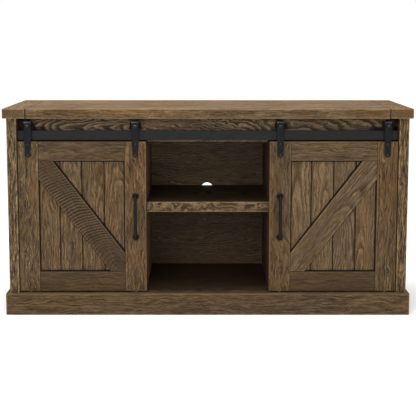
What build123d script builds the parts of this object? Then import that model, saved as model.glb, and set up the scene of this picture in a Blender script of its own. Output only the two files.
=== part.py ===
from build123d import *
import os
from math import atan2, degrees, hypot

# A media console with two sliding barn doors. Millimetres, +Z up, the front towards -Y.
# The origin is on the floor, at the middle of the whole object's box.

# ---------------------------------------------------------------- overall
WIDTH = 1524
HEIGHT = 781
TOP_DEPTH = 457
TOP_THICK = 36
BREADBOARD = 86
PLINTH_HEIGHT = 82
PLINTH_THICK = 13
END_THICK = 36
BOARD = 18
CORNER_RADIUS = 5
EASE = 2
SEAM_EASE = 0.8
TONGUE = 20
TONGUE_THICK = 12
TONGUE_SHOULDER = 32
TONGUE_CLEARANCE = 0.5

# ---------------------------------------------------------------- setbacks behind the top's front edge
CARCASS_SETBACK = 13
DOOR_SETBACK = 24
RAIL_SETBACK = 29.5
INNER_SETBACK = 46
BACK_SETBACK = 440
BACK_THICK = 9
RABBET = 12
DADO = 5

# ---------------------------------------------------------------- open bay and shelves
BAY_HALF = 233
SILL_THICK = 20
DECK_TOP = 87
SHELF_TOP = 424.7
SHELF_THICK = 38.5
SHELF_BACK_GAP = 4
SHELF_SIDE_GAP = 0.5
SIDE_SHELF_TOP = 398
SIDE_SHELF_SETBACK = 66
CABLE_HOLE_RADIUS = 25.4
CABLE_HOLE_Z = 410
FASCIA_BOTTOM = 649
TOP_RAIL_HEIGHT = 60

# ---------------------------------------------------------------- doors
DOOR_INNER = 230
DOOR_OUTER = 711.5
DOOR_BOTTOM = 85.5
DOOR_TOP = 658
DOOR_THICK = 20
INNER_STILE = 82
OUTER_STILE = 77.5
UPPER_RAIL = 74
LOWER_RAIL = 76.5
PANEL_RECESS = 8
PLANK_THICK = 10
PLANK_COUNT = 4
PLANK_GAP = 0.4
V_GROOVE = 2.2
LAP = 9
LAP_CLEARANCE = 1
BRACE_WIDTH = 84
BRACE_RECESS = 0.8
DOOR_EASE = 1.2

# ---------------------------------------------------------------- rail, hangers and rollers
RAIL_BOTTOM = 662
RAIL_HEIGHT = 36
RAIL_THICK = 5
RAIL_END_GAP = 1
RAIL_EASE = 0.6
RAIL_SCREW_PITCH = 330
RAIL_SCREW_STOP = 4
SINK_RADIUS = 5.2
SOCKET_RADIUS = 1.6
SOCKET_DEPTH = 1.5
SPACER_RADIUS = 8
STRAP_OUTER_X = 672
STRAP_INNER_X = 271
STRAP_THICK = 4
STRAP_TOP = 733
STRAP_TIP = 596.5
STRAP_SCREW_ZS = (647, 605.5)
STRAP_EASE = 0.7
STRAP_BEVEL = 3
STRAP_BEVEL_DROP = 7
STRAP_BEVEL_REACH = 20
TREAD_RADIUS = 16
TREAD_GAP = 0.3
FLANGE_RADIUS = 21.5
FLANGE_THICK = 3.5
GROOVE_CLEARANCE = 1
ROLLER_EASE = 1
HUB_WALL = 4
HUB_STAND = 0.6
AXLE_RADIUS = 4
AXLE_CLEARANCE = 0.05
AXLE_HEAD_RADIUS = 7.5
AXLE_HEAD_HEIGHT = 5
HEAD_EASE = 1
NUT_THICK = 4
NUT_SETBACK = 15.8

# ---------------------------------------------------------------- bar pulls, glides and fasteners
PULL_UPPER_Z = 450
PULL_LOWER_Z = 294
PULL_REACH = 27
PULL_BAR_RADIUS = 6.2
PULL_BEND = 14
ROSETTE_RADIUS = 12.5
ROSETTE_RIM = 1.5
ROSETTE_CROWN = (10.3, 4.1)
COLLAR_RADIUS = 7.8
COLLAR_FOOT = 5.5
COLLAR_HEIGHT = 8
GLIDE_RADIUS = 6
GLIDE_HEIGHT = 3
GLIDE_EASE = 1.2
GLIDE_PIN = 14
GLIDE_PIN_GAP = 1
SCREW_CLEARANCE = 0.05
SCREW_POINT = 2
LAG_RADIUS = 2.5
LAG_LENGTH = 16
LAG_TIP_GAP = 0.5
LAG_HEAD_RADIUS = 5.5
LAG_HEAD_HEIGHT = 3.2
LAG_DOME = (3.4, 2.3)
PULL_SCREW_RADIUS = 2
PULL_SCREW_GRIP = 9
PULL_HEAD_RADIUS = 4
PULL_HEAD_DEPTH = 3
PULL_HEAD_SINK = 1
PULL_HEAD_CLEARANCE = 0.5
BACK_SCREW_RADIUS = 1.75
BACK_SCREW_HEAD = 4
BACK_SCREW_HEAD_HEIGHT = 2.4
BACK_SCREW_TIP_GAP = 1
PIN_RADIUS = 2.5
PIN_DEPTH = 8
PIN_DROP = 3.5
PIN_SETBACKS = (95, 395)
PIN_PAD = 9
PIN_PAD_HEIGHT = 7
PIN_PAD_HALF = 5

# ---------------------------------------------------------------- derived places
PULL_OVERHANG = PULL_REACH + PULL_BAR_RADIUS - DOOR_SETBACK
FRONT = -(TOP_DEPTH - PULL_OVERHANG) / 2
HALF = WIDTH / 2
TOP_BOTTOM = HEIGHT - TOP_THICK
SEAM = HALF - BREADBOARD
END_OUTER = HALF - PLINTH_THICK
END_INNER = END_OUTER - END_THICK
CARCASS_FRONT = FRONT + CARCASS_SETBACK
INNER_FRONT = FRONT + INNER_SETBACK
FASCIA_BACK = INNER_FRONT + BOARD
DECK_FRONT = INNER_FRONT + 1
PANEL_FRONT = FRONT + BACK_SETBACK
CARCASS_BACK = PANEL_FRONT + BACK_THICK
TOP_BACK = FRONT + TOP_DEPTH
BAY_OUTER = BAY_HALF + BOARD
DOOR_FRONT = FRONT + DOOR_SETBACK
DOOR_BACK = DOOR_FRONT + DOOR_THICK
PLANK_FRONT = DOOR_FRONT + PANEL_RECESS
OPEN_INNER = DOOR_INNER + INNER_STILE
OPEN_OUTER = DOOR_OUTER - OUTER_STILE
OPEN_BOTTOM = DOOR_BOTTOM + LOWER_RAIL
OPEN_TOP = DOOR_TOP - UPPER_RAIL
RAIL_FRONT = FRONT + RAIL_SETBACK
RAIL_BACK = RAIL_FRONT + RAIL_THICK
RAIL_TOP = RAIL_BOTTOM + RAIL_HEIGHT
RAIL_MID = RAIL_BOTTOM + RAIL_HEIGHT / 2
AXLE_Z = RAIL_TOP + TREAD_RADIUS
STRAP_FRONT = DOOR_FRONT - STRAP_THICK
NUT_FRONT = DOOR_FRONT + NUT_SETBACK
TONGUE_MID = TOP_BOTTOM + TOP_THICK / 2
SHELF_BOTTOM = SHELF_TOP - SHELF_THICK
SIDE_SHELF_BOTTOM = SIDE_SHELF_TOP - BOARD
RAIL_SCREW_LENGTH = FASCIA_BACK - RAIL_SCREW_STOP - RAIL_FRONT
PULL_X = STRAP_INNER_X
STRAP_XS = (STRAP_OUTER_X, STRAP_INNER_X)
SIDES = {"left": -1, "right": 1}

RAIL_SCREWS = [(n * RAIL_SCREW_PITCH, RAIL_MID) for n in (-2, -1, 0, 1, 2)]
BACK_SCREW_ZS = (150, 320, 520, 660)
BACK_SCREW_XS = (-480, 0, 480)
END_SCREW_X = END_INNER + RABBET / 2
PARTITION_X = BAY_HALF + BOARD / 2
BACK_SCREWS_DECK = [(x, DECK_TOP - BOARD / 2) for x in BACK_SCREW_XS]
BACK_SCREWS_TOP = [(x, TOP_BOTTOM - TOP_RAIL_HEIGHT / 2) for x in BACK_SCREW_XS]

os.makedirs("parts", exist_ok=True)


def save(piece, name):
    """Label a finished piece and write it as its own STEP file."""
    piece.part.label = name
    export_step(piece.part, f"parts/{name}.step")


def span(side, near, far):
    """The X span between two distances from the middle, on one side."""
    return tuple(sorted((side * near, side * far)))


def block(x, y, z, mode=Mode.ADD):
    """A square-edged block that fills the spans x, y and z of the part being built."""
    size = (x[1] - x[0], y[1] - y[0], z[1] - z[0])
    with Locations(((x[0] + x[1]) / 2, (y[0] + y[1]) / 2, (z[0] + z[1]) / 2)):
        Box(*size, mode=mode)


def drill_back(places, radius, y_low, y_high):
    """Round holes along Y at each (x, z)."""
    for x, z in places:
        with Locations(Location((x, (y_low + y_high) / 2, z), (90, 0, 0))):
            Cylinder(radius, y_high - y_low, mode=Mode.SUBTRACT)


def front_plane(y):
    """An upright plane at y, drawn on as seen from the front."""
    return Plane.XZ.offset(-y)


def axis_plane(x, y, z):
    """A level plane through a Y axis, with its local y along that axis, for turned profiles."""
    return Plane(origin=(x, y, z), x_dir=(1, 0, 0), z_dir=(0, 0, 1))


def back_screws_on(x):
    """The back panel screws in one upright at x."""
    return [(x, z) for z in BACK_SCREW_ZS]


# ================================================================ top
with BuildPart() as top_board:
    block((-SEAM, SEAM), (FRONT, TOP_BACK), (TOP_BOTTOM, HEIGHT))
    fillet(top_board.edges().filter_by(Axis.X), radius=EASE)
    seam_faces = top_board.faces().filter_by(Axis.X)
    chamfer(seam_faces.edges(), length=SEAM_EASE)
    block(
        (-SEAM - TONGUE, SEAM + TONGUE),
        (FRONT + TONGUE_SHOULDER, TOP_BACK - TONGUE_SHOULDER),
        (TONGUE_MID - TONGUE_THICK / 2, TONGUE_MID + TONGUE_THICK / 2),
    )
save(top_board, "top_board")

for hand, side in SIDES.items():
    with BuildPart() as breadboard_end:
        block(span(side, SEAM, HALF), (FRONT, TOP_BACK), (TOP_BOTTOM, HEIGHT))
        outer_face = breadboard_end.faces().sort_by(Axis.X)[-1 if side > 0 else 0]
        fillet(outer_face.edges().filter_by(Axis.Z), radius=CORNER_RADIUS)
        seam_face = breadboard_end.faces().sort_by(Axis.X)[0 if side > 0 else -1]
        chamfer(seam_face.edges(), length=SEAM_EASE)
        rims = breadboard_end.edges().group_by(Axis.Z)
        level_rims = [e for e in rims[0] + rims[-1] if abs(abs(e.center().X) - SEAM) > CORNER_RADIUS]
        fillet(level_rims, radius=EASE)
        block(
            span(side, SEAM, SEAM + TONGUE + TONGUE_CLEARANCE),
            (FRONT + TONGUE_SHOULDER - TONGUE_CLEARANCE, TOP_BACK - TONGUE_SHOULDER + TONGUE_CLEARANCE),
            (
                TONGUE_MID - TONGUE_THICK / 2 - TONGUE_CLEARANCE,
                TONGUE_MID + TONGUE_THICK / 2 + TONGUE_CLEARANCE,
            ),
            mode=Mode.SUBTRACT,
        )
    save(breadboard_end, f"breadboard_end_{hand}")


# ================================================================ carcass
def pin_holes(face_x, inward, shelf_bottom):
    """Peg holes for one shelf in a board's face. inward is the X direction from the face into the board."""
    for setback in PIN_SETBACKS:
        middle = (face_x + inward * PIN_DEPTH / 2, FRONT + setback, shelf_bottom - PIN_DROP)
        with Locations(Location(middle, (0, 90, 0))):
            Cylinder(PIN_RADIUS + SCREW_CLEARANCE, PIN_DEPTH, mode=Mode.SUBTRACT)


for hand, side in SIDES.items():
    with BuildPart() as end_panel:
        block(span(side, END_INNER, END_OUTER), (CARCASS_FRONT, CARCASS_BACK), (0, TOP_BOTTOM))
        fillet(end_panel.edges().filter_by(Axis.Z).group_by(Axis.Y)[0], radius=EASE)
        block(
            span(side, END_INNER, END_INNER + RABBET),
            (PANEL_FRONT, CARCASS_BACK),
            (PLINTH_HEIGHT - SILL_THICK, TOP_BOTTOM),
            mode=Mode.SUBTRACT,
        )
        pin_holes(side * END_INNER, side, SIDE_SHELF_BOTTOM)
        drill_back(
            back_screws_on(side * END_SCREW_X), BACK_SCREW_RADIUS + SCREW_CLEARANCE,
            PANEL_FRONT - BOARD, PANEL_FRONT,
        )
    save(end_panel, f"end_panel_{hand}")

    with BuildPart() as partition:
        block(span(side, BAY_HALF, BAY_OUTER), (INNER_FRONT, PANEL_FRONT), (DECK_TOP - DADO, TOP_BOTTOM))
        block(
            span(side, BAY_HALF, BAY_OUTER), (INNER_FRONT, FASCIA_BACK), (FASCIA_BOTTOM, TOP_BOTTOM),
            mode=Mode.SUBTRACT,
        )
        block(
            span(side, BAY_HALF, BAY_OUTER), (PANEL_FRONT - BOARD, PANEL_FRONT),
            (TOP_BOTTOM - TOP_RAIL_HEIGHT, TOP_BOTTOM),
            mode=Mode.SUBTRACT,
        )
        # The centre shelf hangs between the partitions, and the side shelf pins enter from outside.
        pin_holes(side * BAY_HALF, side, SHELF_BOTTOM)
        pin_holes(side * BAY_OUTER, -side, SIDE_SHELF_BOTTOM)
        drill_back(
            back_screws_on(side * PARTITION_X), BACK_SCREW_RADIUS + SCREW_CLEARANCE,
            PANEL_FRONT - BOARD, PANEL_FRONT,
        )
    save(partition, f"partition_{hand}")

with BuildPart() as sill:
    block(
        (-END_INNER, END_INNER), (CARCASS_FRONT, DECK_FRONT),
        (PLINTH_HEIGHT - SILL_THICK, PLINTH_HEIGHT),
    )
save(sill, "sill")

with BuildPart() as deck:
    block((-END_INNER, END_INNER), (DECK_FRONT, PANEL_FRONT), (DECK_TOP - BOARD, DECK_TOP))
    fillet(deck.edges().filter_by(Axis.X).group_by(Axis.Z)[-1].sort_by(Axis.Y)[0], radius=EASE / 2)
    # The partitions stand in shallow grooves.
    for side in SIDES.values():
        block(
            span(side, BAY_HALF, BAY_OUTER), (DECK_FRONT, PANEL_FRONT), (DECK_TOP - DADO, DECK_TOP),
            mode=Mode.SUBTRACT,
        )
    drill_back(BACK_SCREWS_DECK, BACK_SCREW_RADIUS + SCREW_CLEARANCE, PANEL_FRONT - BOARD, PANEL_FRONT)
save(deck, "deck")

with BuildPart() as fascia:
    block((-END_INNER, END_INNER), (INNER_FRONT, FASCIA_BACK), (FASCIA_BOTTOM, TOP_BOTTOM))
    fillet(fascia.edges().filter_by(Axis.X).group_by(Axis.Z)[0], radius=EASE)
    drill_back(RAIL_SCREWS, LAG_RADIUS + SCREW_CLEARANCE, INNER_FRONT, FASCIA_BACK)
save(fascia, "fascia")

with BuildPart() as top_back_rail:
    block(
        (-END_INNER, END_INNER), (PANEL_FRONT - BOARD, PANEL_FRONT),
        (TOP_BOTTOM - TOP_RAIL_HEIGHT, TOP_BOTTOM),
    )
    drill_back(BACK_SCREWS_TOP, BACK_SCREW_RADIUS + SCREW_CLEARANCE, PANEL_FRONT - BOARD, PANEL_FRONT)
save(top_back_rail, "top_back_rail")

with BuildPart() as back_panel:
    block(
        (-END_INNER - RABBET, END_INNER + RABBET), (PANEL_FRONT, CARCASS_BACK),
        (PLINTH_HEIGHT - SILL_THICK, TOP_BOTTOM),
    )
    drill_back([(0, CABLE_HOLE_Z)], CABLE_HOLE_RADIUS, PANEL_FRONT, CARCASS_BACK)
    back_screws = BACK_SCREWS_DECK + BACK_SCREWS_TOP
    for side in SIDES.values():
        back_screws += back_screws_on(side * END_SCREW_X) + back_screws_on(side * PARTITION_X)
    drill_back(back_screws, BACK_SCREW_RADIUS + SCREW_CLEARANCE, PANEL_FRONT, CARCASS_BACK)
save(back_panel, "back_panel")


# ================================================================ base and plinth
with BuildPart() as base_front_rail:
    block(
        (-END_INNER, END_INNER), (CARCASS_FRONT, CARCASS_FRONT + BOARD),
        (0, PLINTH_HEIGHT - SILL_THICK),
    )
save(base_front_rail, "base_front_rail")

with BuildPart() as base_back_rail:
    block((-END_INNER, END_INNER), (PANEL_FRONT - BOARD, PANEL_FRONT), (0, DECK_TOP - BOARD))
save(base_back_rail, "base_back_rail")

# One cross rail stands under each partition, notched at the front to pass under the sill.
with BuildPart() as base_cross_rails:
    for side in SIDES.values():
        block(
            span(side, BAY_HALF, BAY_OUTER), (CARCASS_FRONT + BOARD, PANEL_FRONT - BOARD),
            (0, DECK_TOP - BOARD),
        )
        block(
            span(side, BAY_HALF, BAY_OUTER), (CARCASS_FRONT + BOARD, DECK_FRONT),
            (PLINTH_HEIGHT - SILL_THICK, DECK_TOP - BOARD),
            mode=Mode.SUBTRACT,
        )
save(base_cross_rails, "base_cross_rails")


def plinth_board(name, corners):
    """A plinth board from its mitred outline on the floor, with the outer corner and top edge rounded."""
    with BuildPart() as board:
        with BuildSketch():
            with BuildLine():
                Polyline(*corners, close=True)
            make_face()
            RectangleRounded(WIDTH, -2 * FRONT, CORNER_RADIUS, mode=Mode.INTERSECT)
        extrude(amount=PLINTH_HEIGHT)
        rim = board.edges().group_by(Axis.Z)[-1]
        outer = [e for e in rim if abs(e.center().X) > HALF - EASE or e.center().Y < FRONT + EASE]
        fillet(outer, radius=EASE)
    save(board, name)


plinth_board(
    "plinth_front",
    [(-HALF, FRONT), (HALF, FRONT), (END_OUTER, CARCASS_FRONT), (-END_OUTER, CARCASS_FRONT)],
)
for hand, side in SIDES.items():
    plinth_board(
        f"plinth_{hand}",
        [
            (side * HALF, FRONT),
            (side * HALF, CARCASS_BACK),
            (side * END_OUTER, CARCASS_BACK),
            (side * END_OUTER, CARCASS_FRONT),
        ],
    )


# ================================================================ shelves, pins and cleats
def shelf(name, x, y, z):
    """A shelf board with its two front edges eased."""
    with BuildPart() as board:
        block(x, y, z)
        fillet(board.edges().filter_by(Axis.X).group_by(Axis.Y)[0], radius=EASE)
    save(board, name)


shelf(
    "center_shelf",
    (-BAY_HALF + SHELF_SIDE_GAP, BAY_HALF - SHELF_SIDE_GAP),
    (DECK_FRONT, PANEL_FRONT - SHELF_BACK_GAP),
    (SHELF_BOTTOM, SHELF_TOP),
)
for hand, side in SIDES.items():
    shelf(
        f"side_shelf_{hand}",
        span(side, BAY_OUTER + SHELF_SIDE_GAP, END_INNER - SHELF_SIDE_GAP),
        (FRONT + SIDE_SHELF_SETBACK, PANEL_FRONT - SHELF_BACK_GAP),
        (SIDE_SHELF_BOTTOM, SIDE_SHELF_TOP),
    )

# Each pin is a peg in the board and a small pad under the shelf.
PIN_PLACES = []
for side in SIDES.values():
    PIN_PLACES += [(side * BAY_HALF, side, SHELF_BOTTOM)]
    PIN_PLACES += [(side * BAY_OUTER, -side, SIDE_SHELF_BOTTOM)]
    PIN_PLACES += [(side * END_INNER, side, SIDE_SHELF_BOTTOM)]

with BuildPart() as shelf_pins:
    for face_x, inward, shelf_bottom in PIN_PLACES:
        for setback in PIN_SETBACKS:
            pin_y = FRONT + setback
            block(
                sorted((face_x, face_x - inward * PIN_PAD)),
                (pin_y - PIN_PAD_HALF, pin_y + PIN_PAD_HALF),
                (shelf_bottom - PIN_PAD_HEIGHT, shelf_bottom),
            )
            peg_middle = (face_x + inward * PIN_DEPTH / 2, pin_y, shelf_bottom - PIN_DROP)
            with Locations(Location(peg_middle, (0, 90, 0))):
                Cylinder(PIN_RADIUS, PIN_DEPTH)
save(shelf_pins, "shelf_pins")

with BuildPart() as top_cleats:
    for side in SIDES.values():
        for near, far in ((BAY_OUTER, BAY_OUTER + BOARD), (END_INNER - BOARD, END_INNER)):
            block(
                span(side, near, far), (FASCIA_BACK, PANEL_FRONT - BOARD),
                (TOP_BOTTOM - BOARD, TOP_BOTTOM),
            )
save(top_cleats, "top_cleats")

with BuildPart() as back_panel_screws:
    tip = BACK_SCREW_TIP_GAP - BACK_THICK - BOARD
    for x, z in back_screws:
        with BuildSketch(axis_plane(x, CARCASS_BACK, z)):
            with BuildLine():
                Polyline(
                    (0, BACK_SCREW_HEAD_HEIGHT),
                    (BACK_SCREW_HEAD / 2, BACK_SCREW_HEAD_HEIGHT),
                    (BACK_SCREW_HEAD, 0),
                    (BACK_SCREW_RADIUS, 0),
                    (BACK_SCREW_RADIUS, tip + SCREW_POINT),
                    (0, tip),
                    close=True,
                )
            make_face()
        revolve(axis=Axis((x, CARCASS_BACK, z), (0, 1, 0)))
save(back_panel_screws, "back_panel_screws")


# ================================================================ rail
with BuildPart() as rail:
    half_length = END_INNER - RAIL_END_GAP
    block((-half_length, half_length), (RAIL_FRONT, RAIL_BACK), (RAIL_BOTTOM, RAIL_TOP))
    chamfer(rail.edges().filter_by(Axis.X), length=RAIL_EASE)
    for x, z in RAIL_SCREWS:
        with Locations(front_plane(RAIL_FRONT).location * Location((x, z, 0))):
            CounterSinkHole(LAG_RADIUS + SCREW_CLEARANCE, SINK_RADIUS, depth=RAIL_THICK)
save(rail, "rail")

with BuildPart() as rail_spacers:
    for x, z in RAIL_SCREWS:
        with BuildSketch(front_plane(INNER_FRONT)):
            with Locations((x, z)):
                Circle(SPACER_RADIUS)
                Circle(LAG_RADIUS + SCREW_CLEARANCE, mode=Mode.SUBTRACT)
        extrude(amount=INNER_FRONT - RAIL_BACK)
save(rail_spacers, "rail_spacers")

with BuildPart() as rail_screws:
    head_depth = SINK_RADIUS - LAG_RADIUS
    for x, z in RAIL_SCREWS:
        with BuildSketch(axis_plane(x, RAIL_FRONT, z)):
            with BuildLine():
                Polyline(
                    (0, SOCKET_DEPTH),
                    (SOCKET_RADIUS, SOCKET_DEPTH),
                    (SOCKET_RADIUS, 0),
                    (SINK_RADIUS - 2 * SCREW_CLEARANCE, 0),
                    (LAG_RADIUS, head_depth - 2 * SCREW_CLEARANCE),
                    (LAG_RADIUS, RAIL_SCREW_LENGTH - SCREW_POINT),
                    (0, RAIL_SCREW_LENGTH),
                    close=True,
                )
            make_face()
        revolve(axis=Axis((x, RAIL_FRONT, z), (0, 1, 0)))
save(rail_screws, "rail_screws")


# ================================================================ doors
def door_holes(side):
    """Pilot holes in a door's stiles: lag screws from the front, pull screws through, glide pins below."""
    for x in STRAP_XS:
        lags = [(side * x, z) for z in STRAP_SCREW_ZS]
        drill_back(lags, LAG_RADIUS + SCREW_CLEARANCE, DOOR_FRONT, DOOR_FRONT + LAG_LENGTH)
        with Locations((side * x, (DOOR_FRONT + DOOR_BACK) / 2, DOOR_BOTTOM + GLIDE_PIN / 2)):
            Cylinder(PIN_RADIUS + SCREW_CLEARANCE, GLIDE_PIN, mode=Mode.SUBTRACT)
    pulls = [(side * PULL_X, z) for z in (PULL_UPPER_Z, PULL_LOWER_Z)]
    drill_back(pulls, PULL_SCREW_RADIUS + SCREW_CLEARANCE, DOOR_FRONT, DOOR_BACK)
    for x, z in pulls:
        with Locations(Location((x, DOOR_BACK - PULL_HEAD_DEPTH / 2, z), (90, 0, 0))):
            Cylinder(PULL_HEAD_RADIUS + PULL_HEAD_CLEARANCE, PULL_HEAD_DEPTH, mode=Mode.SUBTRACT)


def ease_front(piece, length):
    """Ease the four front edges of a door board."""
    chamfer(piece.faces().filter_by(Axis.Y).sort_by(Axis.Y)[0].edges(), length=length)


def strap_outline():
    """Half widths of a hanger strap at each height, from its top to its spear tip."""
    return [
        (13.5, STRAP_TOP),
        (13.0, RAIL_BOTTOM),
        (10.4, STRAP_TIP + 28),
        (9.5, STRAP_TIP + 16.5),
        (11.8, STRAP_TIP + 9),
        (0, STRAP_TIP),
    ]


for hand, side in SIDES.items():
    # ---- frame boards: tongues on the rails lap behind the stiles
    stiles = {
        "outer": (span(side, OPEN_OUTER, DOOR_OUTER), span(side, OPEN_OUTER, OPEN_OUTER + LAP)),
        "inner": (span(side, DOOR_INNER, OPEN_INNER), span(side, OPEN_INNER - LAP, OPEN_INNER)),
    }
    for place, (x, lap_x) in stiles.items():
        with BuildPart() as stile:
            block(x, (DOOR_FRONT, DOOR_BACK), (DOOR_BOTTOM, DOOR_TOP))
            ease_front(stile, DOOR_EASE)
            block(lap_x, (PLANK_FRONT, DOOR_BACK), (DOOR_BOTTOM, DOOR_TOP), mode=Mode.SUBTRACT)
            door_holes(side)
        save(stile, f"{hand}_door_{place}_stile")

    opening = span(side, OPEN_INNER, OPEN_OUTER)
    tongues = (opening[0] - LAP, opening[1] + LAP)
    rails = {
        "top": ((OPEN_TOP, DOOR_TOP), (OPEN_TOP, OPEN_TOP + LAP)),
        "bottom": ((DOOR_BOTTOM, OPEN_BOTTOM), (OPEN_BOTTOM - LAP, OPEN_BOTTOM)),
    }
    for place, (z, lap_z) in rails.items():
        with BuildPart() as door_rail:
            block(opening, (DOOR_FRONT, DOOR_BACK), z)
            ease_front(door_rail, DOOR_EASE)
            block(tongues, (PLANK_FRONT, DOOR_BACK), z)
            block(tongues, (PLANK_FRONT, DOOR_BACK), lap_z, mode=Mode.SUBTRACT)
        save(door_rail, f"{hand}_door_{place}_rail")

    # ---- four planks in the rabbets, V-jointed at the front
    with BuildPart() as planks:
        pitch = (opening[1] - opening[0]) / PLANK_COUNT
        for n in range(PLANK_COUNT):
            low = opening[0] + n * pitch + PLANK_GAP / 2
            high = opening[0] + (n + 1) * pitch - PLANK_GAP / 2
            reach = LAP - LAP_CLEARANCE
            low -= reach if n == 0 else 0
            high += reach if n == PLANK_COUNT - 1 else 0
            with BuildSketch(Plane.XY.offset(OPEN_BOTTOM - reach)):
                with BuildLine():
                    Polyline(
                        (low, PLANK_FRONT + V_GROOVE),
                        (low + V_GROOVE, PLANK_FRONT),
                        (high - V_GROOVE, PLANK_FRONT),
                        (high, PLANK_FRONT + V_GROOVE),
                        (high, PLANK_FRONT + PLANK_THICK),
                        (low, PLANK_FRONT + PLANK_THICK),
                        close=True,
                    )
                make_face()
            extrude(amount=OPEN_TOP - OPEN_BOTTOM + 2 * reach)
    save(planks, f"{hand}_door_planks")

    # ---- the brace runs from the outer top corner of the opening to the inner bottom corner
    rise = OPEN_TOP - OPEN_BOTTOM
    run = opening[1] - opening[0]
    with BuildPart() as brace:
        with BuildSketch(front_plane(PLANK_FRONT)):
            with Locations(((opening[0] + opening[1]) / 2, (OPEN_TOP + OPEN_BOTTOM) / 2)):
                Rectangle(run, rise)
                Rectangle(
                    2 * hypot(run, rise), BRACE_WIDTH,
                    rotation=side * degrees(atan2(rise, run)), mode=Mode.INTERSECT,
                )
        extrude(amount=PANEL_RECESS - BRACE_RECESS)
        ease_front(brace, DOOR_EASE)
    save(brace, f"{hand}_door_brace")

    # ---- hanger straps
    for place, strap_x in (("outer", side * STRAP_OUTER_X), ("inner", side * STRAP_INNER_X)):
        with BuildPart() as strap:
            with BuildSketch(front_plane(DOOR_FRONT)):
                with BuildLine():
                    right = [(strap_x + half, z) for half, z in strap_outline()]
                    left = [(strap_x - half, z) for half, z in reversed(strap_outline()[:-1])]
                    Polyline(*right, *left, close=True)
                make_face()
            extrude(amount=STRAP_THICK)
            with BuildSketch(Plane.YZ.offset(strap_x - STRAP_BEVEL_REACH)):
                with BuildLine():
                    Polyline(
                        (STRAP_FRONT, STRAP_TOP),
                        (STRAP_FRONT + STRAP_BEVEL, STRAP_TOP),
                        (STRAP_FRONT, STRAP_TOP - STRAP_BEVEL_DROP),
                        close=True,
                    )
                make_face()
            extrude(amount=2 * STRAP_BEVEL_REACH, mode=Mode.SUBTRACT)
            front_edges = strap.faces().filter_by(Axis.Y).sort_by(Axis.Y)[0].edges()
            below_bevel = [e for e in front_edges if e.center().Z < STRAP_TOP - STRAP_BEVEL_DROP - 1]
            chamfer(below_bevel, length=STRAP_EASE)
            drill_back([(strap_x, AXLE_Z)], AXLE_RADIUS + AXLE_CLEARANCE, STRAP_FRONT, DOOR_FRONT)
            lags = [(strap_x, z) for z in STRAP_SCREW_ZS]
            drill_back(lags, LAG_RADIUS + SCREW_CLEARANCE, STRAP_FRONT, DOOR_FRONT)
        save(strap, f"{hand}_door_{place}_strap")

    # ---- lag screws with domed heads
    with BuildPart() as lag_screws:
        tip = STRAP_THICK + LAG_LENGTH - LAG_TIP_GAP
        for x in (side * STRAP_OUTER_X, side * STRAP_INNER_X):
            for z in STRAP_SCREW_ZS:
                with BuildSketch(axis_plane(x, STRAP_FRONT, z)):
                    with BuildLine():
                        ThreePointArc(
                            (0, -LAG_HEAD_HEIGHT),
                            (LAG_DOME[0], -LAG_DOME[1]),
                            (LAG_HEAD_RADIUS, 0),
                        )
                        Polyline(
                            (LAG_HEAD_RADIUS, 0),
                            (LAG_RADIUS, 0),
                            (LAG_RADIUS, tip - SCREW_POINT),
                            (0, tip),
                            (0, -LAG_HEAD_HEIGHT),
                        )
                    make_face()
                revolve(axis=Axis((x, STRAP_FRONT, z), (0, 1, 0)))
    save(lag_screws, f"{hand}_door_lag_screws")

    # ---- axle bolts: hexagon head, plain shank through the roller, thin nut behind
    with BuildPart() as axle_bolts:
        for x in (side * STRAP_OUTER_X, side * STRAP_INNER_X):
            with BuildSketch(front_plane(STRAP_FRONT)):
                with Locations((x, AXLE_Z)):
                    RegularPolygon(AXLE_HEAD_RADIUS, 6)
            extrude(amount=AXLE_HEAD_HEIGHT)
            with BuildSketch(front_plane(NUT_FRONT + NUT_THICK)):
                with Locations((x, AXLE_Z)):
                    Circle(AXLE_RADIUS)
            extrude(amount=NUT_FRONT + NUT_THICK - STRAP_FRONT)
            with BuildSketch(front_plane(NUT_FRONT + NUT_THICK)):
                with Locations((x, AXLE_Z)):
                    RegularPolygon(AXLE_HEAD_RADIUS, 6)
            extrude(amount=NUT_THICK)
        heads = axle_bolts.faces().filter_by(Axis.Y).group_by(Axis.Y)[0]
        chamfer(heads.edges(), length=HEAD_EASE)
    save(axle_bolts, f"{hand}_door_axle_bolts")

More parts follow.
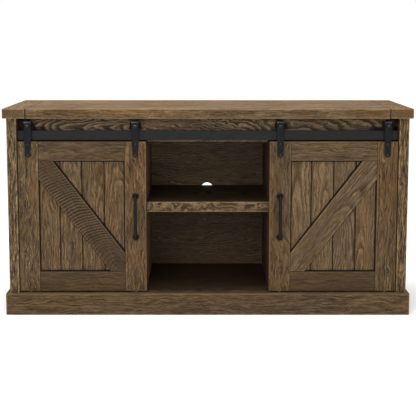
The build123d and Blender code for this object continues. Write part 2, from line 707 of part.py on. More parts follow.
    # ---- bar pull: a bent bar between two turned rosettes
    with BuildPart() as pull:
        bar_y = DOOR_FRONT - PULL_REACH
        with BuildLine() as bow:
            FilletPolyline(
                (side * PULL_X, DOOR_FRONT, PULL_UPPER_Z),
                (side * PULL_X, bar_y, PULL_UPPER_Z),
                (side * PULL_X, bar_y, PULL_LOWER_Z),
                (side * PULL_X, DOOR_FRONT, PULL_LOWER_Z),
                radius=PULL_BEND,
            )
        with BuildSketch(front_plane(DOOR_FRONT)):
            with Locations((side * PULL_X, PULL_UPPER_Z)):
                Circle(PULL_BAR_RADIUS)
        sweep()
        for z in (PULL_UPPER_Z, PULL_LOWER_Z):
            with BuildSketch(axis_plane(side * PULL_X, DOOR_FRONT, z)):
                with BuildLine():
                    Polyline(
                        (0, -COLLAR_HEIGHT), (PULL_BAR_RADIUS, -COLLAR_HEIGHT), (COLLAR_RADIUS, -COLLAR_FOOT),
                    )
                    ThreePointArc(
                        (COLLAR_RADIUS, -COLLAR_FOOT),
                        (ROSETTE_CROWN[0], -ROSETTE_CROWN[1]),
                        (ROSETTE_RADIUS, -ROSETTE_RIM),
                    )
                    Polyline((ROSETTE_RADIUS, -ROSETTE_RIM), (ROSETTE_RADIUS, 0), (0, 0), (0, -COLLAR_HEIGHT))
                make_face()
            revolve(axis=Axis((side * PULL_X, DOOR_FRONT, z), (0, 1, 0)))
        screws = [(side * PULL_X, z) for z in (PULL_UPPER_Z, PULL_LOWER_Z)]
        drill_back(screws, PULL_SCREW_RADIUS + SCREW_CLEARANCE, DOOR_FRONT - PULL_SCREW_GRIP, DOOR_FRONT)
    save(pull, f"{hand}_door_pull")

    # ---- pull screws, in from the back of the inner stile
    with BuildPart() as pull_screws:
        for x, z in screws:
            with BuildSketch(front_plane(DOOR_BACK - PULL_HEAD_SINK)):
                with Locations((x, z)):
                    Circle(PULL_HEAD_RADIUS)
            extrude(amount=PULL_HEAD_DEPTH - PULL_HEAD_SINK)
            with BuildSketch(front_plane(DOOR_BACK - PULL_HEAD_DEPTH)):
                with Locations((x, z)):
                    Circle(PULL_SCREW_RADIUS)
            extrude(amount=DOOR_THICK - PULL_HEAD_DEPTH + PULL_SCREW_GRIP - PULL_HEAD_SINK)
    save(pull_screws, f"{hand}_door_pull_screws")

    # ---- glides that ride just above the sill
    with BuildPart() as glides:
        glide_y = (DOOR_FRONT + DOOR_BACK) / 2
        for x in (side * STRAP_OUTER_X, side * STRAP_INNER_X):
            with BuildSketch(Plane.XY.offset(DOOR_BOTTOM)):
                with Locations((x, glide_y)):
                    Circle(GLIDE_RADIUS)
            extrude(amount=-GLIDE_HEIGHT)
            with BuildSketch(Plane.XY.offset(DOOR_BOTTOM)):
                with Locations((x, glide_y)):
                    Circle(PIN_RADIUS)
            extrude(amount=GLIDE_PIN - GLIDE_PIN_GAP)
        chamfer(glides.faces().filter_by(Axis.Z).group_by(Axis.Z)[0].edges(), length=GLIDE_EASE)
    save(glides, f"{hand}_door_glides")

    # ---- grooved rollers on top of the rail
    for place, roller_x in (("outer", side * STRAP_OUTER_X), ("inner", side * STRAP_INNER_X)):
        groove = RAIL_THICK / 2 + GROOVE_CLEARANCE
        rim = groove + FLANGE_THICK
        tread = TREAD_RADIUS - TREAD_GAP
        hub = rim + HUB_STAND
        hub_radius = AXLE_RADIUS + HUB_WALL
        bore = AXLE_RADIUS + AXLE_CLEARANCE
        rail_mid_y = (RAIL_FRONT + RAIL_BACK) / 2
        with BuildPart() as roller:
            with BuildSketch(axis_plane(roller_x, rail_mid_y, AXLE_Z)):
                with BuildLine():
                    Polyline(
                        (bore, -hub),
                        (hub_radius, -hub),
                        (hub_radius, -rim + ROLLER_EASE),
                        (tread, -rim + ROLLER_EASE),
                        (tread + ROLLER_EASE, -rim),
                        (FLANGE_RADIUS - ROLLER_EASE, -rim),
                        (FLANGE_RADIUS, -rim + ROLLER_EASE),
                        (FLANGE_RADIUS, -groove - ROLLER_EASE),
                        (tread, -groove),
                        (tread, groove),
                        (FLANGE_RADIUS, groove + ROLLER_EASE),
                        (FLANGE_RADIUS, rim - ROLLER_EASE),
                        (FLANGE_RADIUS - ROLLER_EASE, rim),
                        (tread + ROLLER_EASE, rim),
                        (tread, rim - ROLLER_EASE),
                        (hub_radius, rim - ROLLER_EASE),
                        (hub_radius, hub),
                        (bore, hub),
                        close=True,
                    )
                make_face()
            revolve(axis=Axis((roller_x, rail_mid_y, AXLE_Z), (0, 1, 0)))
        save(roller, f"{hand}_door_{place}_roller")
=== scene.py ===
import math

import bpy
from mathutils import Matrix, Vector


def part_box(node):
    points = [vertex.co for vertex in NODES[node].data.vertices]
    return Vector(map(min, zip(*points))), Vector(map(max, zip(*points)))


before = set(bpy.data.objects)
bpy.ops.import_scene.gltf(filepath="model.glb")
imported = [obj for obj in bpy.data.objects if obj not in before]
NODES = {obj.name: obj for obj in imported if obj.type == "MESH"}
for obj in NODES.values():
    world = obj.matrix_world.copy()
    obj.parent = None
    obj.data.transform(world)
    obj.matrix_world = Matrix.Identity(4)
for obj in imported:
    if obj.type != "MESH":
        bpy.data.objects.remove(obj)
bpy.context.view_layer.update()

# A weathered oak TV stand with two sliding barn doors. Metres, +Z up, the front towards -Y.
SCENE = bpy.context.scene

# ---------------------------------------------------------------- places on the object
FRONT_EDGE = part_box("top_board")[0][1]
TONGUE = 0.020
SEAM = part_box("top_board")[1][0] - TONGUE
FASCIA_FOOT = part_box("fascia")[0][2]
POST_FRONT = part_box("end_panel_left")[0][1]
DOOR_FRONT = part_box("left_door_top_rail")[0][1]
SHELF_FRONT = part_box("center_shelf")[0][1]

# The opening in a door's frame, and the brace that crosses it from corner to corner.
OPEN_X = (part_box("right_door_inner_stile")[1][0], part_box("right_door_outer_stile")[0][0])
OPEN_Z = (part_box("right_door_bottom_rail")[1][2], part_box("right_door_top_rail")[0][2])
BRACE_HALF = 0.042
BRACE_ANGLE = math.atan2(OPEN_Z[1] - OPEN_Z[0], OPEN_X[1] - OPEN_X[0])

# ---------------------------------------------------------------- camera
EYE = (-0.0246, FRONT_EDGE - 3.362, 1.0545)
PITCH = math.radians(6.165)
LENS = 79.09
SHIFT = (0.0163, -0.18)

camera = bpy.data.objects.new("camera", bpy.data.cameras.new("camera"))
camera.data.lens = LENS
camera.data.sensor_width = 36
camera.data.shift_x, camera.data.shift_y = SHIFT
camera.location = EYE
camera.rotation_euler = (math.pi / 2 - PITCH, 0, 0)
SCENE.collection.objects.link(camera)
SCENE.camera = camera


# ---------------------------------------------------------------- light, surroundings and floor
def softbox(name, place, target, size, power):
    """A rectangular area light at place, turned towards target."""
    light = bpy.data.lights.new(name, "AREA")
    light.shape = "RECTANGLE"
    light.size, light.size_y = size
    light.energy = power
    lamp = bpy.data.objects.new(name, light)
    lamp.location = place
    lamp.rotation_euler = (Vector(target) - Vector(place)).to_track_quat("-Z", "Y").to_euler()
    SCENE.collection.objects.link(lamp)


softbox("overhead_softbox", (-0.3, -0.5, 3.2), (0, 0.1, 0.5), (2.6, 1.6), 62)
softbox("front_softbox", (-1.3, -4.4, 2.6), (0, 0, 0.4), (1.8, 1.4), 42)

world = bpy.data.worlds.new("white_studio")
world.use_nodes = True
backdrop = world.node_tree.nodes["Background"]
backdrop.inputs["Color"].default_value = (1, 1, 1, 1)
backdrop.inputs["Strength"].default_value = 1.0
SCENE.world = world
SCENE.view_settings.view_transform = "Standard"

FLOOR_REACH = 60
floor_mesh = bpy.data.meshes.new("studio_floor")
floor_corners = [(x * FLOOR_REACH, y * FLOOR_REACH, 0) for x, y in ((-1, -1), (1, -1), (1, 1), (-1, 1))]
floor_mesh.from_pydata(floor_corners, [], [(0, 1, 2, 3)])
studio_floor = bpy.data.objects.new("studio_floor", floor_mesh)
SCENE.collection.objects.link(studio_floor)


# ---------------------------------------------------------------- node helpers
class Graph:
    """Short calls for building a node tree."""

    def __init__(self, tree):
        self.tree = tree

    def add(self, kind, **settings):
        node = self.tree.nodes.new(kind)
        for key, value in settings.items():
            setattr(node, key, value)
        return node

    def feed(self, socket, value):
        """Link a socket into another one, or set a plain value on it."""
        if isinstance(value, bpy.types.NodeSocket):
            self.tree.links.new(value, socket)
        else:
            socket.default_value = value

    def math(self, operation, *values):
        node = self.add("ShaderNodeMath", operation=operation)
        for socket, value in zip(node.inputs, values):
            self.feed(socket, value)
        return node.outputs[0]

    def plus(self, *values):
        total = values[0]
        for value in values[1:]:
            total = self.math("ADD", total, value)
        return total

    def times(self, *values):
        total = values[0]
        for value in values[1:]:
            total = self.math("MULTIPLY", total, value)
        return total

    def minus(self, a, b):
        return self.math("SUBTRACT", a, b)

    def vector(self, operation, *values):
        node = self.add("ShaderNodeVectorMath", operation=operation)
        for socket, value in zip(node.inputs, values):
            self.feed(socket, value)
        return node.outputs[0]

    def scale(self, vector, factor):
        node = self.add("ShaderNodeVectorMath", operation="SCALE")
        self.feed(node.inputs[0], vector)
        self.feed(node.inputs["Scale"], factor)
        return node.outputs[0]

    def combine(self, *values):
        node = self.add("ShaderNodeCombineXYZ")
        for socket, value in zip(node.inputs, values):
            self.feed(socket, value)
        return node.outputs[0]

    def separate(self, vector):
        node = self.add("ShaderNodeSeparateXYZ")
        self.feed(node.inputs[0], vector)
        return node.outputs

    def noise(self, vector, waves, detail=2.0, rough=0.5):
        """Noise of that many waves a metre along each axis, from 0 to 1."""
        node = self.add("ShaderNodeTexNoise")
        self.feed(node.inputs["Vector"], self.vector("MULTIPLY", vector, waves))
        node.inputs["Scale"].default_value = 1
        node.inputs["Detail"].default_value = detail
        node.inputs["Roughness"].default_value = rough
        return node.outputs["Fac"]

    def step(self, value, low, high, to_low=0.0, to_high=1.0):
        """A smooth step from to_low at low to to_high at high."""
        node = self.add("ShaderNodeMapRange", interpolation_type="SMOOTHSTEP")
        for socket, number in zip(node.inputs, (value, low, high, to_low, to_high)):
            self.feed(socket, number)
        return node.outputs[0]

    def blend(self, factor, a, b):
        node = self.add("ShaderNodeMix", data_type="RGBA")
        self.feed(node.inputs[0], factor)
        self.feed(node.inputs[6], a)
        self.feed(node.inputs[7], b)
        return node.outputs[2]


def rgb(red, green, blue):
    return (red, green, blue, 1.0)


# ---------------------------------------------------------------- oak
WARM, GREY = rgb(0.156, 0.085, 0.036), rgb(0.124, 0.079, 0.043)
PALE, BLEACHED = rgb(0.250, 0.163, 0.080), rgb(0.340, 0.240, 0.126)
UMBER, SOOT = rgb(0.040, 0.025, 0.012), rgb(0.013, 0.008, 0.005)
RING = 0.0078


def oak_group():
    """Weathered flat-sawn oak in metres: x along the grain, y across it, z through the board."""
    tree = bpy.data.node_groups.new("Oak", "ShaderNodeTree")
    for name in ("Board", "Half"):
        tree.interface.new_socket(name, in_out="INPUT", socket_type="NodeSocketVector")
    for name in ("Seed", "Slope", "Heart", "Figure", "Rings", "Wave", "Tone", "Wear", "Joint"):
        tree.interface.new_socket(name, in_out="INPUT", socket_type="NodeSocketFloat")
    tree.interface.new_socket("Color", in_out="OUTPUT", socket_type="NodeSocketColor")
    tree.interface.new_socket("Roughness", in_out="OUTPUT", socket_type="NodeSocketFloat")
    tree.interface.new_socket("Height", in_out="OUTPUT", socket_type="NodeSocketFloat")
    g = Graph(tree)
    given = g.add("NodeGroupInput").outputs
    dice = g.add("ShaderNodeTexWhiteNoise", noise_dimensions="1D")
    g.feed(dice.inputs["W"], given["Seed"])
    dice_a, dice_b, dice_c = g.separate(dice.outputs["Color"])
    log = g.vector("ADD", given["Board"], g.scale(dice.outputs["Color"], 40.0))
    along, across, through = g.separate(given["Board"])

    # The fibres wander sideways along the board.
    wander = g.times(g.minus(g.noise(log, (3.2, 7, 7), 2), 0.5), 0.034, given["Wave"])
    flutter = g.times(g.minus(g.noise(log, (15, 30, 30), 2), 0.5), 0.012, given["Wave"])
    flutter = g.plus(flutter, g.times(g.minus(g.noise(log, (42, 45, 45), 2), 0.5), 0.006, given["Wave"]))
    bent = g.vector("ADD", log, g.combine(0.0, g.plus(wander, flutter), g.times(wander, 0.6)))

    # Growth rings round a heart below the board. It drifts along the board, so flat faces show cathedrals.
    side = g.plus(across, g.times(g.minus(dice_a, 0.5), 0.06), wander, flutter)
    sink = g.times(g.minus(g.noise(log, (2.6, 3, 3), 2), 0.5), 0.085)
    depth = g.plus(through, g.times(dice_b, 0.03), given["Heart"], g.times(along, given["Slope"]), sink)
    radius = g.math("SQRT", g.plus(g.times(side, side), g.times(depth, depth)))
    radius = g.plus(radius, g.times(g.minus(g.noise(log, (20, 60, 60), 2, 0.6), 0.5), 0.0040))
    rings = g.times(radius, 1 / RING)
    phase = g.math("FRACT", rings)
    year = g.add("ShaderNodeTexWhiteNoise", noise_dimensions="1D")
    g.feed(year.inputs["W"], g.math("FLOOR", rings))
    early = g.times(g.step(phase, 0.0, 0.08), g.step(phase, 0.62, 0.20))
    shown = g.times(g.step(g.noise(log, (3.4, 15, 15), 2), 0.38, 0.60, 0.30, 1.0), given["Rings"])
    early = g.times(early, g.plus(g.times(year.outputs["Value"], 0.6), 0.4))
    deep = g.times(early, g.step(given["Rings"], 1.5, 1.9))
    early = g.math("MINIMUM", g.times(early, shown), 1.0)
    late = g.times(g.step(phase, 0.60, 0.80), g.step(phase, 1.0, 0.92), shown)

    broad = g.noise(bent, (5, 62, 62), 2, 0.5)
    streak = g.noise(bent, (14, 235, 235), 3, 0.70)
    fibre = g.noise(bent, (135, 470, 470), 2, 0.6)
    checks = g.step(g.noise(bent, (17, 320, 320), 2, 0.55), 0.565, 0.630)
    flecks = g.step(g.noise(bent, (20, 300, 300), 2, 0.55), 0.435, 0.360)
    pores = g.step(g.noise(bent, (70, 1300, 1300), 2, 0.6), 0.54, 0.66)
    pores = g.times(pores, g.plus(g.times(early, 0.6), 0.4))
    patch = g.noise(log, (3.4, 15, 15), 3, 0.6)
    smudge = g.step(g.noise(log, (7, 24, 24), 3, 0.62), 0.57, 0.74)
    hue = g.noise(log, (2.1, 12, 12), 2)

    plain = g.blend(g.step(hue, 0.38, 0.62), WARM, GREY)
    stain = g.blend(g.times(g.step(streak, 0.50, 0.66), 0.85), plain, PALE)
    stain = g.blend(g.times(g.step(broad, 0.52, 0.72), 0.35), stain, PALE)
    stain = g.blend(g.times(g.step(broad, 0.48, 0.30), 0.45), stain, UMBER)
    stain = g.blend(g.times(g.step(streak, 0.50, 0.34), 0.75), stain, UMBER)
    stain = g.blend(g.times(flecks, 0.60), stain, BLEACHED)
    stain = g.blend(g.times(checks, 0.85), stain, SOOT)
    stain = g.blend(given["Figure"], plain, stain)
    stain = g.blend(g.times(late, 0.35), stain, PALE)
    stain = g.blend(g.times(early, 0.85), stain, UMBER)
    stain = g.blend(g.times(deep, 0.60), stain, SOOT)
    stain = g.blend(g.times(smudge, 0.42), stain, UMBER)
    stain = g.blend(g.times(pores, 0.55), stain, SOOT)

    # Distance to the nearest arris: the middle one of the distances to the board's three pairs of faces.
    gaps = g.separate(g.vector("SUBTRACT", given["Half"], g.vector("ABSOLUTE", given["Board"])))
    small, large = g.math("MINIMUM", gaps[0], gaps[1]), g.math("MAXIMUM", gaps[0], gaps[1])
    arris = g.math("MAXIMUM", small, g.math("MINIMUM", large, gaps[2]))
    ragged = g.times(g.minus(g.noise(log, (26, 120, 120), 2, 0.6), 0.5), 0.006)
    pale_band = g.times(g.step(g.plus(arris, ragged), 0.0055, 0.0015), given["Wear"])
    stain = g.blend(pale_band, stain, BLEACHED)
    stain = g.blend(g.times(g.step(arris, 0.0029, 0.0013), given["Joint"]), stain, SOOT)

    bright = g.times(
        g.plus(g.times(fibre, 0.95), 0.525),
        g.plus(g.times(patch, 0.70), 0.65),
        g.plus(g.times(dice_c, 0.20), 0.90),
        given["Tone"],
    )
    out = g.add("NodeGroupOutput").inputs
    g.feed(out["Color"], g.scale(stain, bright))
    g.feed(out["Roughness"], g.plus(g.times(pores, 0.15), g.times(fibre, 0.20), g.times(early, 0.10), 0.50))
    sunk = g.plus(pores, g.times(checks, 0.8), g.times(early, 0.4))
    g.feed(out["Height"], g.minus(g.times(fibre, 0.5), sunk))
    return tree


OAK = oak_group()


def oak(
    name, along, seed, tone=0.86, figure=0.7, rings=0.6, wear=0.45, joint=0.0, slope=0.0, heart=0.016,
    wave=1.0, strips=1, gloss=0.1, tint=(1, 1, 1), shade=None, angle=0.0,
):
    """An oak material for one CAD node.

    The grain runs along x, y or z, or along x turned by angle about y. strips is how many boards the node
    is glued from. shade takes the graph and the node's x, y and z sockets, and returns what the colour is
    multiplied by.
    """
    low, high = (Vector(corner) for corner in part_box(name))
    middle, half = (low + high) / 2, (high - low) / 2
    material = bpy.data.materials.new(f"oak_{name}")
    material.use_nodes = True
    g = Graph(material.node_tree)
    shader = material.node_tree.nodes["Principled BSDF"]
    place = g.add("ShaderNodeTexCoord").outputs["Object"]
    x, y, z = g.separate(g.vector("SUBTRACT", place, tuple(middle)))
    axes = {"x": (x, half.x), "y": (y, half.y), "z": (z, half.z)}
    if angle:
        turned = g.plus(g.times(x, math.cos(angle)), g.times(z, math.sin(angle)))
        risen = g.minus(g.times(z, math.cos(angle)), g.times(x, math.sin(angle)))
        axes["x"] = (turned, math.hypot(half.x, half.z))
        axes["z"] = (risen, BRACE_HALF)
    grain = axes.pop(along)
    (flat, flat_half), (thick, thick_half) = sorted(axes.values(), key=lambda pair: -pair[1])
    which = seed
    if strips > 1:
        width = 2 * flat_half / strips
        cell = g.plus(g.times(flat, 1 / width), strips / 2)
        index = g.math("FLOOR", cell)
        flat = g.times(g.minus(g.minus(cell, index), 0.5), width)
        flat_half = width / 2
        which = g.plus(index, seed)
    group = g.add("ShaderNodeGroup", node_tree=OAK)
    g.feed(group.inputs["Board"], g.combine(grain[0], flat, thick))
    group.inputs["Half"].default_value = (grain[1], flat_half, thick_half)
    g.feed(group.inputs["Seed"], which)
    looks = dict(
        Slope=slope, Heart=heart, Figure=figure, Rings=rings, Wave=wave, Tone=tone, Wear=wear, Joint=joint
    )
    for key, value in looks.items():
        group.inputs[key].default_value = value
    colour = g.vector("MULTIPLY", group.outputs["Color"], tint)
    if shade:
        colour = g.scale(colour, shade(g, *g.separate(place)))
    g.feed(shader.inputs["Base Color"], colour)
    g.feed(shader.inputs["Roughness"], group.outputs["Roughness"])
    shader.inputs["Specular IOR Level"].default_value = gloss
    bump = g.add("ShaderNodeBump")
    bump.inputs["Strength"].default_value = 0.5
    bump.inputs["Distance"].default_value = 0.0006
    g.feed(bump.inputs["Height"], group.outputs["Height"])
    g.feed(shader.inputs["Normal"], bump.outputs[0])
    return material


def dress(name, material):
    """Put a material in every slot of a CAD node."""
    for holder in NODES[name].material_slots:
        holder.material = material


def seam_shade_line(g, x):
    """A dark line of painted shade in the seams where the field boards of the top meet the breadboard ends.
    """
    return g.step(g.math("ABSOLUTE", g.minus(g.math("ABSOLUTE", x), SEAM)), 0.0013, 0.0028, 0.06, 1.0)


def painted_corner_shade(g, x, y, z):
    """Painted shade on the planks along the inside of the door's frame and along both sides of the brace.
    """
    out = g.math("ABSOLUTE", x)
    to_frame = g.math(
        "MINIMUM",
        g.math("MINIMUM", g.minus(out, OPEN_X[0]), g.minus(OPEN_X[1], out)),
        g.math("MINIMUM", g.minus(z, OPEN_Z[0]), g.minus(OPEN_Z[1], z)),
    )
    from_middle = g.minus(
        g.times(g.minus(z, sum(OPEN_Z) / 2), math.cos(BRACE_ANGLE)),
        g.times(g.minus(out, sum(OPEN_X) / 2), math.sin(BRACE_ANGLE)),
    )
    to_brace = g.minus(g.math("ABSOLUTE", from_middle), BRACE_HALF)
    # Painted shadow: the dark band is wider along the brace's upper edge, as if cast by that edge.
    upper = g.step(from_middle, -0.001, 0.001, 0.0040, 0.0085)
    # Painted shade along the frame, where its step stands over the planks.
    frame_shade_line = g.step(to_frame, 0.0020, 0.0065, 0.14, 1.0)
    brace_shadow_line = g.step(g.math("DIVIDE", to_brace, upper), 0.45, 1.0, 0.08, 1.0)
    return g.times(frame_shade_line, brace_shadow_line)


def fascia_shadow(g, x, y, z):
    """The fascia is dark at its ends, under the top and behind the upper edges of the doors."""
    out = g.math("ABSOLUTE", x)
    ends = g.step(out, 0.655, 0.700, 1.0, 0.14)
    behind_doors = g.math("MAXIMUM", g.step(z, 0.664, 0.668), g.step(out, 0.226, 0.228, 1.0, 0.10))
    by_rollers = g.math("MAXIMUM", g.step(z, 0.708, 0.714), g.step(out, 0.600, 0.612, 1.0, 0.25))
    over_bay = g.step(z, FASCIA_FOOT + 0.0045, FASCIA_FOOT + 0.0065, 0.12, 1.0)
    under_top = g.step(z, 0.705, 0.744, 1.0, 0.75)
    return g.times(ends, behind_doors, by_rollers, over_bay, under_top)


def post_front(g, x, y, z):
    """The front edges of the end panels are wire-brushed into strong, wavering dark and pale lines."""
    place = g.combine(x, 0.0, z)
    sway = g.times(g.minus(g.noise(place, (20, 1, 14), 2), 0.5), 0.030)
    lines = g.noise(g.combine(g.plus(x, sway), 0.0, z), (190, 1, 15), 2, 0.6)
    brushed = g.step(lines, 0.38, 0.62, 0.34, 1.52)
    behind = g.step(y, POST_FRONT + 0.0015, POST_FRONT + 0.004)
    return g.plus(g.times(behind, g.minus(1.0, brushed)), brushed)


def painted_step_shade(g, x, y, z):
    """Painted shade on the faces of a door's frame and brace that lie behind their front arris, such as the
    sides of the steps.
    """
    return g.step(y, DOOR_FRONT + 0.0014, DOOR_FRONT + 0.0034, 1.0, 0.22)


def shaded_behind_edge(front, depth, dark):
    """A light front edge, with painted shade on everything further back than depth."""
    return lambda g, x, y, z: g.step(y, front + depth, front + depth + 0.0015, 1.0, dark)


def bay_shade(g, x, y, z):
    """The back panel is a little darker below the centre shelf."""
    return g.step(z, 0.380, 0.400, 0.57, 1.0)


def top_edge(g, x, y, z):
    """The top has long worn streaks, weaker on its darker front edge, and dark lines of painted shade in
    its seams.
    """
    front, back = FRONT_EDGE + 0.0010, FRONT_EDGE + 0.0025
    edge = g.step(y, front, back, 0.72, 1.0)
    dark = g.step(y, front, back, 0.86, 0.62)
    pale = g.step(y, front, back, 1.10, 1.34)
    streaks = g.step(g.noise(g.combine(x, y, 0.0), (3.2, 26, 1), 4, 0.75), 0.36, 0.64, dark, pale)
    return g.times(edge, streaks, seam_shade_line(g, x))


# The looks of each board, by the axis that its grain runs along.
ROW_X = {
    "top_board": dict(tone=1.02, figure=0.70, rings=0.4, wave=0.9, gloss=0.025, shade=top_edge),
    "fascia": dict(
        tone=0.84, figure=1.0, rings=1.65, wave=3.0, slope=0.16, heart=0.03, wear=0.2, tint=(1, 1.03, 1.15),
        shade=fascia_shadow,
    ),
    "plinth_front": dict(tone=0.535, figure=0.78, rings=0.5, wave=1.4, wear=0.35),
    "sill": dict(tone=0.50, wear=0.1),
    # The centre shelf's top, back from its light front edge, is darkened as painted shade.
    "center_shelf": dict(
        tone=0.82, figure=1.0, rings=1.9, wave=2.2, slope=0.05, shade=shaded_behind_edge(SHELF_FRONT, 0.002, 0.34)
    ),
    # The deck is given a dark tone as painted shade, for its place at the bottom of the bay.
    "deck": dict(tone=0.24, wear=0.0, strips=2),
    "side_shelf_left": dict(tone=0.4, wear=0.1, strips=2),
    "side_shelf_right": dict(tone=0.4, wear=0.1, strips=2),
    "top_back_rail": dict(tone=0.5, wear=0.1),
    "base_front_rail": dict(tone=0.5, wear=0.1),
    "base_back_rail": dict(tone=0.7, wear=0.1),
    "back_panel": dict(
        tone=1.05, figure=0.45, rings=1.0, wear=0.0, strips=3, wave=2.2, slope=0.10, tint=(1, 1.12, 1.35),
        shade=bay_shade,
    ),
}
ROW_Y = {
    "breadboard_end_left": dict(tone=1.0, figure=0.6, rings=0.4, gloss=0.025, shade=top_edge),
    "breadboard_end_right": dict(tone=1.0, figure=0.6, rings=0.4, gloss=0.025, shade=top_edge),
    "plinth_left": dict(tone=0.60, figure=0.55, rings=0.5, wear=0.35),
    "plinth_right": dict(tone=0.60, figure=0.55, rings=0.5, wear=0.35),
    "base_cross_rails": dict(tone=0.5, wear=0.1),
    "top_cleats": dict(tone=0.5, wear=0.1),
}
ROW_Z = {
    "end_panel_left": dict(
        strips=4, figure=0.85, rings=0.7, wave=1.6, slope=0.06, tone=0.84, tint=(0.97, 1.01, 1.04),
        shade=post_front,
    ),
    "end_panel_right": dict(
        strips=4, figure=0.85, rings=0.7, wave=1.8, slope=-0.07, tone=0.83, tint=(1.0, 0.96, 0.88),
        shade=post_front,
    ),
    "partition_left": dict(tone=0.95, wear=0.1, strips=3),
    "partition_right": dict(tone=0.42, wear=0.1, strips=3),
}
STILE = dict(joint=0.8, rings=0.5, wave=1.8, shade=painted_step_shade)
DOOR_TOP_RAIL = dict(joint=0.8, figure=0.65, rings=0.5, wave=1.6, shade=painted_step_shade)
DOOR_BOTTOM_RAIL = dict(joint=0.8, figure=0.4, rings=0.3, shade=painted_step_shade)
PLANKS = dict(strips=4, rings=0.8, wear=0.0, joint=1.0, wave=1.5, slope=0.06, shade=painted_corner_shade)
BRACE = dict(wear=0.3, shade=painted_step_shade)

# What differs from door to door.
DOOR_WOOD = {
    "left": dict(
        outer_stile=dict(tone=0.66, figure=0.98, tint=(1.01, 1.0, 0.96)),
        inner_stile=dict(tone=0.70, figure=0.90, tint=(1.07, 0.98, 0.92)),
        planks=dict(tone=0.765, figure=0.78),
        top_rail=dict(tone=0.57, tint=(0.97, 1.0, 1.07)),
        bottom_rail=dict(tone=0.485, tint=(1.0, 0.98, 0.94)),
        brace=dict(
            angle=-BRACE_ANGLE, figure=0.40, rings=1.5, slope=-0.62, heart=0.18, wave=0.9, tone=0.47,
            tint=(0.98, 1.0, 1.06),
        ),
    ),
    "right": dict(
        outer_stile=dict(tone=0.585, figure=0.90, tint=(1.05, 1.0, 0.93)),
        inner_stile=dict(tone=0.68, figure=0.80, tint=(1.03, 1.0, 0.97)),
        planks=dict(tone=0.86, figure=0.52, tint=(1.0, 1.0, 0.98)),
        top_rail=dict(tone=0.60),
        bottom_rail=dict(tone=0.46),
        brace=dict(angle=BRACE_ANGLE, figure=0.65, rings=0.7, slope=0.12, tone=0.72),
    ),
}
for hand, wood in DOOR_WOOD.items():
    for place in ("outer", "inner"):
        ROW_Z[f"{hand}_door_{place}_stile"] = {**STILE, **wood[f"{place}_stile"]}
    ROW_Z[f"{hand}_door_planks"] = {**PLANKS, **wood["planks"]}
    ROW_X[f"{hand}_door_top_rail"] = {**DOOR_TOP_RAIL, **wood["top_rail"]}
    ROW_X[f"{hand}_door_bottom_rail"] = {**DOOR_BOTTOM_RAIL, **wood["bottom_rail"]}
for hand, wood in DOOR_WOOD.items():
    ROW_X[f"{hand}_door_brace"] = {**BRACE, **wood["brace"]}

FIRST_SEED, SEED_STEP = 3, 11
seed = FIRST_SEED
for along, row in (("x", ROW_X), ("y", ROW_Y), ("z", ROW_Z)):
    for name, options in row.items():
        dress(name, oak(name, along, seed, **options))
        seed += SEED_STEP


# ---------------------------------------------------------------- metal and nylon
CLOUDS, GRIT = 60, 1400
# The pale grey of the painted highlights on the strap bevels and the bolt heads.
GLINT_GREY = rgb(0.10, 0.102, 0.106)
BLUR = 0.0008


def grained(name, low, high, rough, metallic=0.0, specular=0.5, pale_band=None):
    """A material with a cloudy colour between low and high, varied roughness and a fine grit.

    The optional height band is painted pale grey as a painted highlight, on the upper bevels of the straps
    and across the tops of the axle bolt heads.
    """
    material = bpy.data.materials.new(name)
    material.use_nodes = True
    g = Graph(material.node_tree)
    shader = material.node_tree.nodes["Principled BSDF"]
    place = g.add("ShaderNodeTexCoord").outputs["Object"]
    cloud = g.noise(place, (CLOUDS, CLOUDS, CLOUDS), 3, 0.6)
    fine = g.noise(place, (GRIT, GRIT, GRIT), 2)
    colour = g.blend(g.step(cloud, 0.3, 0.7), low, high)
    if pale_band:
        z = g.separate(place)[2]
        foot, head = pale_band
        band = g.times(g.step(z, foot - BLUR, foot + BLUR), g.step(cloud, 0.35, 0.60, 0.35, 1.0))
        band = g.times(band, g.step(z, head + BLUR, head - BLUR))
        colour = g.blend(band, colour, GLINT_GREY)
    g.feed(shader.inputs["Base Color"], colour)
    mottle = g.plus(g.times(cloud, 0.7), g.times(fine, 0.3))
    g.feed(shader.inputs["Roughness"], g.step(mottle, 0.3, 0.7, *rough))
    shader.inputs["Metallic"].default_value = metallic
    shader.inputs["Specular IOR Level"].default_value = specular
    bump = g.add("ShaderNodeBump")
    bump.inputs["Strength"].default_value = 0.2
    bump.inputs["Distance"].default_value = 0.0003
    g.feed(bump.inputs["Height"], fine)
    g.feed(shader.inputs["Normal"], bump.outputs[0])
    return material


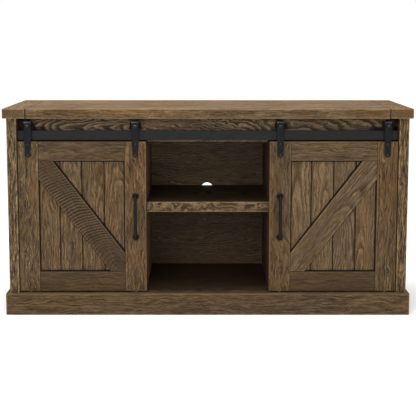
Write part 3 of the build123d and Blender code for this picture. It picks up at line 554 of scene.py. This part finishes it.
COAT_LOW, COAT_HIGH = rgb(0.002, 0.0022, 0.0027), rgb(0.005, 0.0055, 0.0065)
COAT = grained("black_powder_coat", COAT_LOW, COAT_HIGH, (0.26, 0.42), specular=0.16)
# The straps carry a painted highlight along their upper bevels.
GLINTED_STRAP_COAT = grained(
    "strap_powder_coat", COAT_LOW, COAT_HIGH, (0.26, 0.42), specular=0.16, pale_band=(0.7265, 0.7318)
)
# The bolts carry a painted glint across the upper part of the axle bolt heads.
GLINTED_BOLT = grained(
    "blackened_bolt", rgb(0.003, 0.0032, 0.0036), rgb(0.008, 0.0085, 0.0095), (0.16, 0.28), specular=0.30,
    pale_band=(0.7165, 0.7200),
)
RAIL_COAT = grained(
    "rail_powder_coat", rgb(0.004, 0.0042, 0.0046), rgb(0.008, 0.008, 0.0085), (0.46, 0.60), specular=0.22
)
ROLLER = grained(
    "black_nylon", rgb(0.0025, 0.0025, 0.002), rgb(0.005, 0.005, 0.0045), (0.45, 0.60), specular=0.07
)
GLIDE = grained("brown_nylon", rgb(0.46, 0.34, 0.19), rgb(0.56, 0.42, 0.25), (0.45, 0.60))
ZINC = grained("zinc_plate", rgb(0.42, 0.42, 0.40), rgb(0.62, 0.61, 0.58), (0.25, 0.42), metallic=1.0)

CARCASS_HARDWARE = {
    "rail": RAIL_COAT,
    "rail_screws": RAIL_COAT,
    "rail_spacers": RAIL_COAT,
    "back_panel_screws": ZINC,
    "shelf_pins": ZINC,
}
DOOR_HARDWARE = {
    "outer_strap": GLINTED_STRAP_COAT,
    "inner_strap": GLINTED_STRAP_COAT,
    "lag_screws": GLINTED_BOLT,
    "axle_bolts": GLINTED_BOLT,
    "pull": COAT,
    "pull_screws": ZINC,
    "outer_roller": ROLLER,
    "inner_roller": ROLLER,
    "glides": GLIDE,
}
for name, finish in CARCASS_HARDWARE.items():
    dress(name, finish)
for hand in DOOR_WOOD:
    for part, finish in DOOR_HARDWARE.items():
        dress(f"{hand}_door_{part}", finish)


# ---------------------------------------------------------------- floor finish
plaster = bpy.data.materials.new("pale_floor")
plaster.use_nodes = True
g = Graph(plaster.node_tree)
plaster_shader = plaster.node_tree.nodes["Principled BSDF"]
cloud = g.noise(g.add("ShaderNodeTexCoord").outputs["Object"], (1.5, 1.5, 1.5), 2)
g.feed(plaster_shader.inputs["Base Color"], g.blend(cloud, rgb(0.97, 0.97, 0.97), rgb(0.98, 0.98, 0.98)))
plaster_shader.inputs["Roughness"].default_value = 0.8
plaster_shader.inputs["Emission Color"].default_value = rgb(1, 1, 1)
plaster_shader.inputs["Emission Strength"].default_value = 0.05
floor_mesh.materials.append(plaster)
